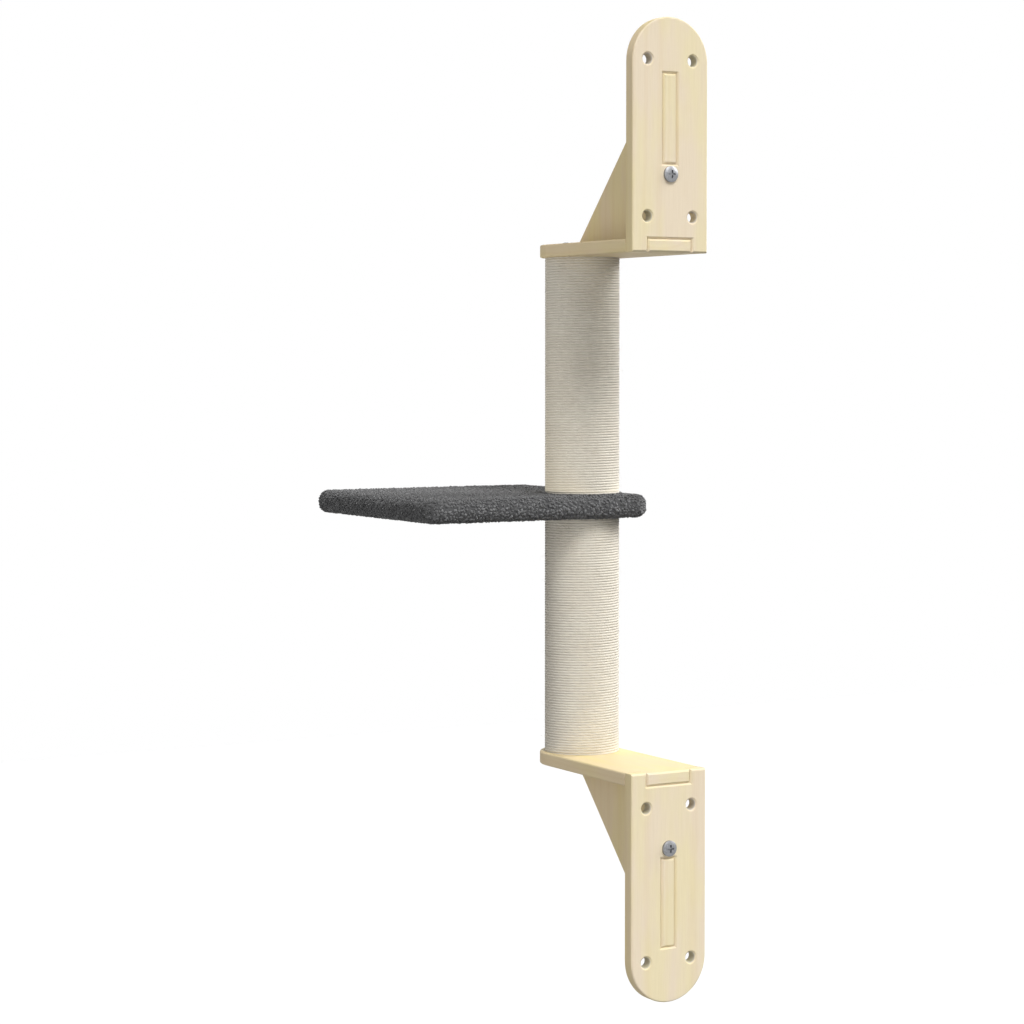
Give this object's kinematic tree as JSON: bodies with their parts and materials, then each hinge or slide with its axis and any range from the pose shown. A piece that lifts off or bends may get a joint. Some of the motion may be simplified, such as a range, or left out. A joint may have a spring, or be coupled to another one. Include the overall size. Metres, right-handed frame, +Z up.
{
  "type": "wall mounted cat tree",
  "caption": "Tall narrow cat climber for a wall: pine brackets above and below hold a rope-wound scratching post with a plush platform at its middle.",
  "frame": {"origin": "centre of the upper wall plate's four wall holes, on the plane of the wall", "axes": "+Z up along the post, +Y into the wall, so the tree stands out from the wall towards -Y and the platform reaches towards +X"},
  "size_m": [0.297, 0.4344, 1.111],
  "materials": {
    "pine": "planed solid pine, clear satin",
    "birch": "turned birch, raw",
    "sisal": "twisted natural sisal rope, matt",
    "plush": "short curly plush pile, matt",
    "paper_tube": "wound paper, matt",
    "zinc_steel": "zinc plated steel"
  },
  "bodies": {
    "root": {"upper_wall_plate": "pine", "upper_shelf": "pine", "upper_gusset": "pine", "upper_gusset_screw": "zinc_steel", "upper_gusset_dowels": "birch", "upper_post_screws": "zinc_steel", "upper_post_tube": "paper_tube", "upper_shelf_plug": "birch", "upper_platform_plug": "birch", "upper_stud_insert": "zinc_steel", "upper_rope_core": "sisal", "upper_rope_winding": "sisal", "lower_wall_plate": "pine", "lower_shelf": "pine", "lower_gusset": "pine", "lower_gusset_screw": "zinc_steel", "lower_gusset_dowels": "birch", "lower_post_screws": "zinc_steel", "lower_post_tube": "paper_tube", "lower_shelf_plug": "birch", "lower_platform_plug": "birch", "lower_stud_insert": "zinc_steel", "lower_rope_core": "sisal", "lower_rope_winding": "sisal", "platform_board": "pine", "platform_cover": "plush", "platform_stud": "zinc_steel"}
  },
  "joints": []
}
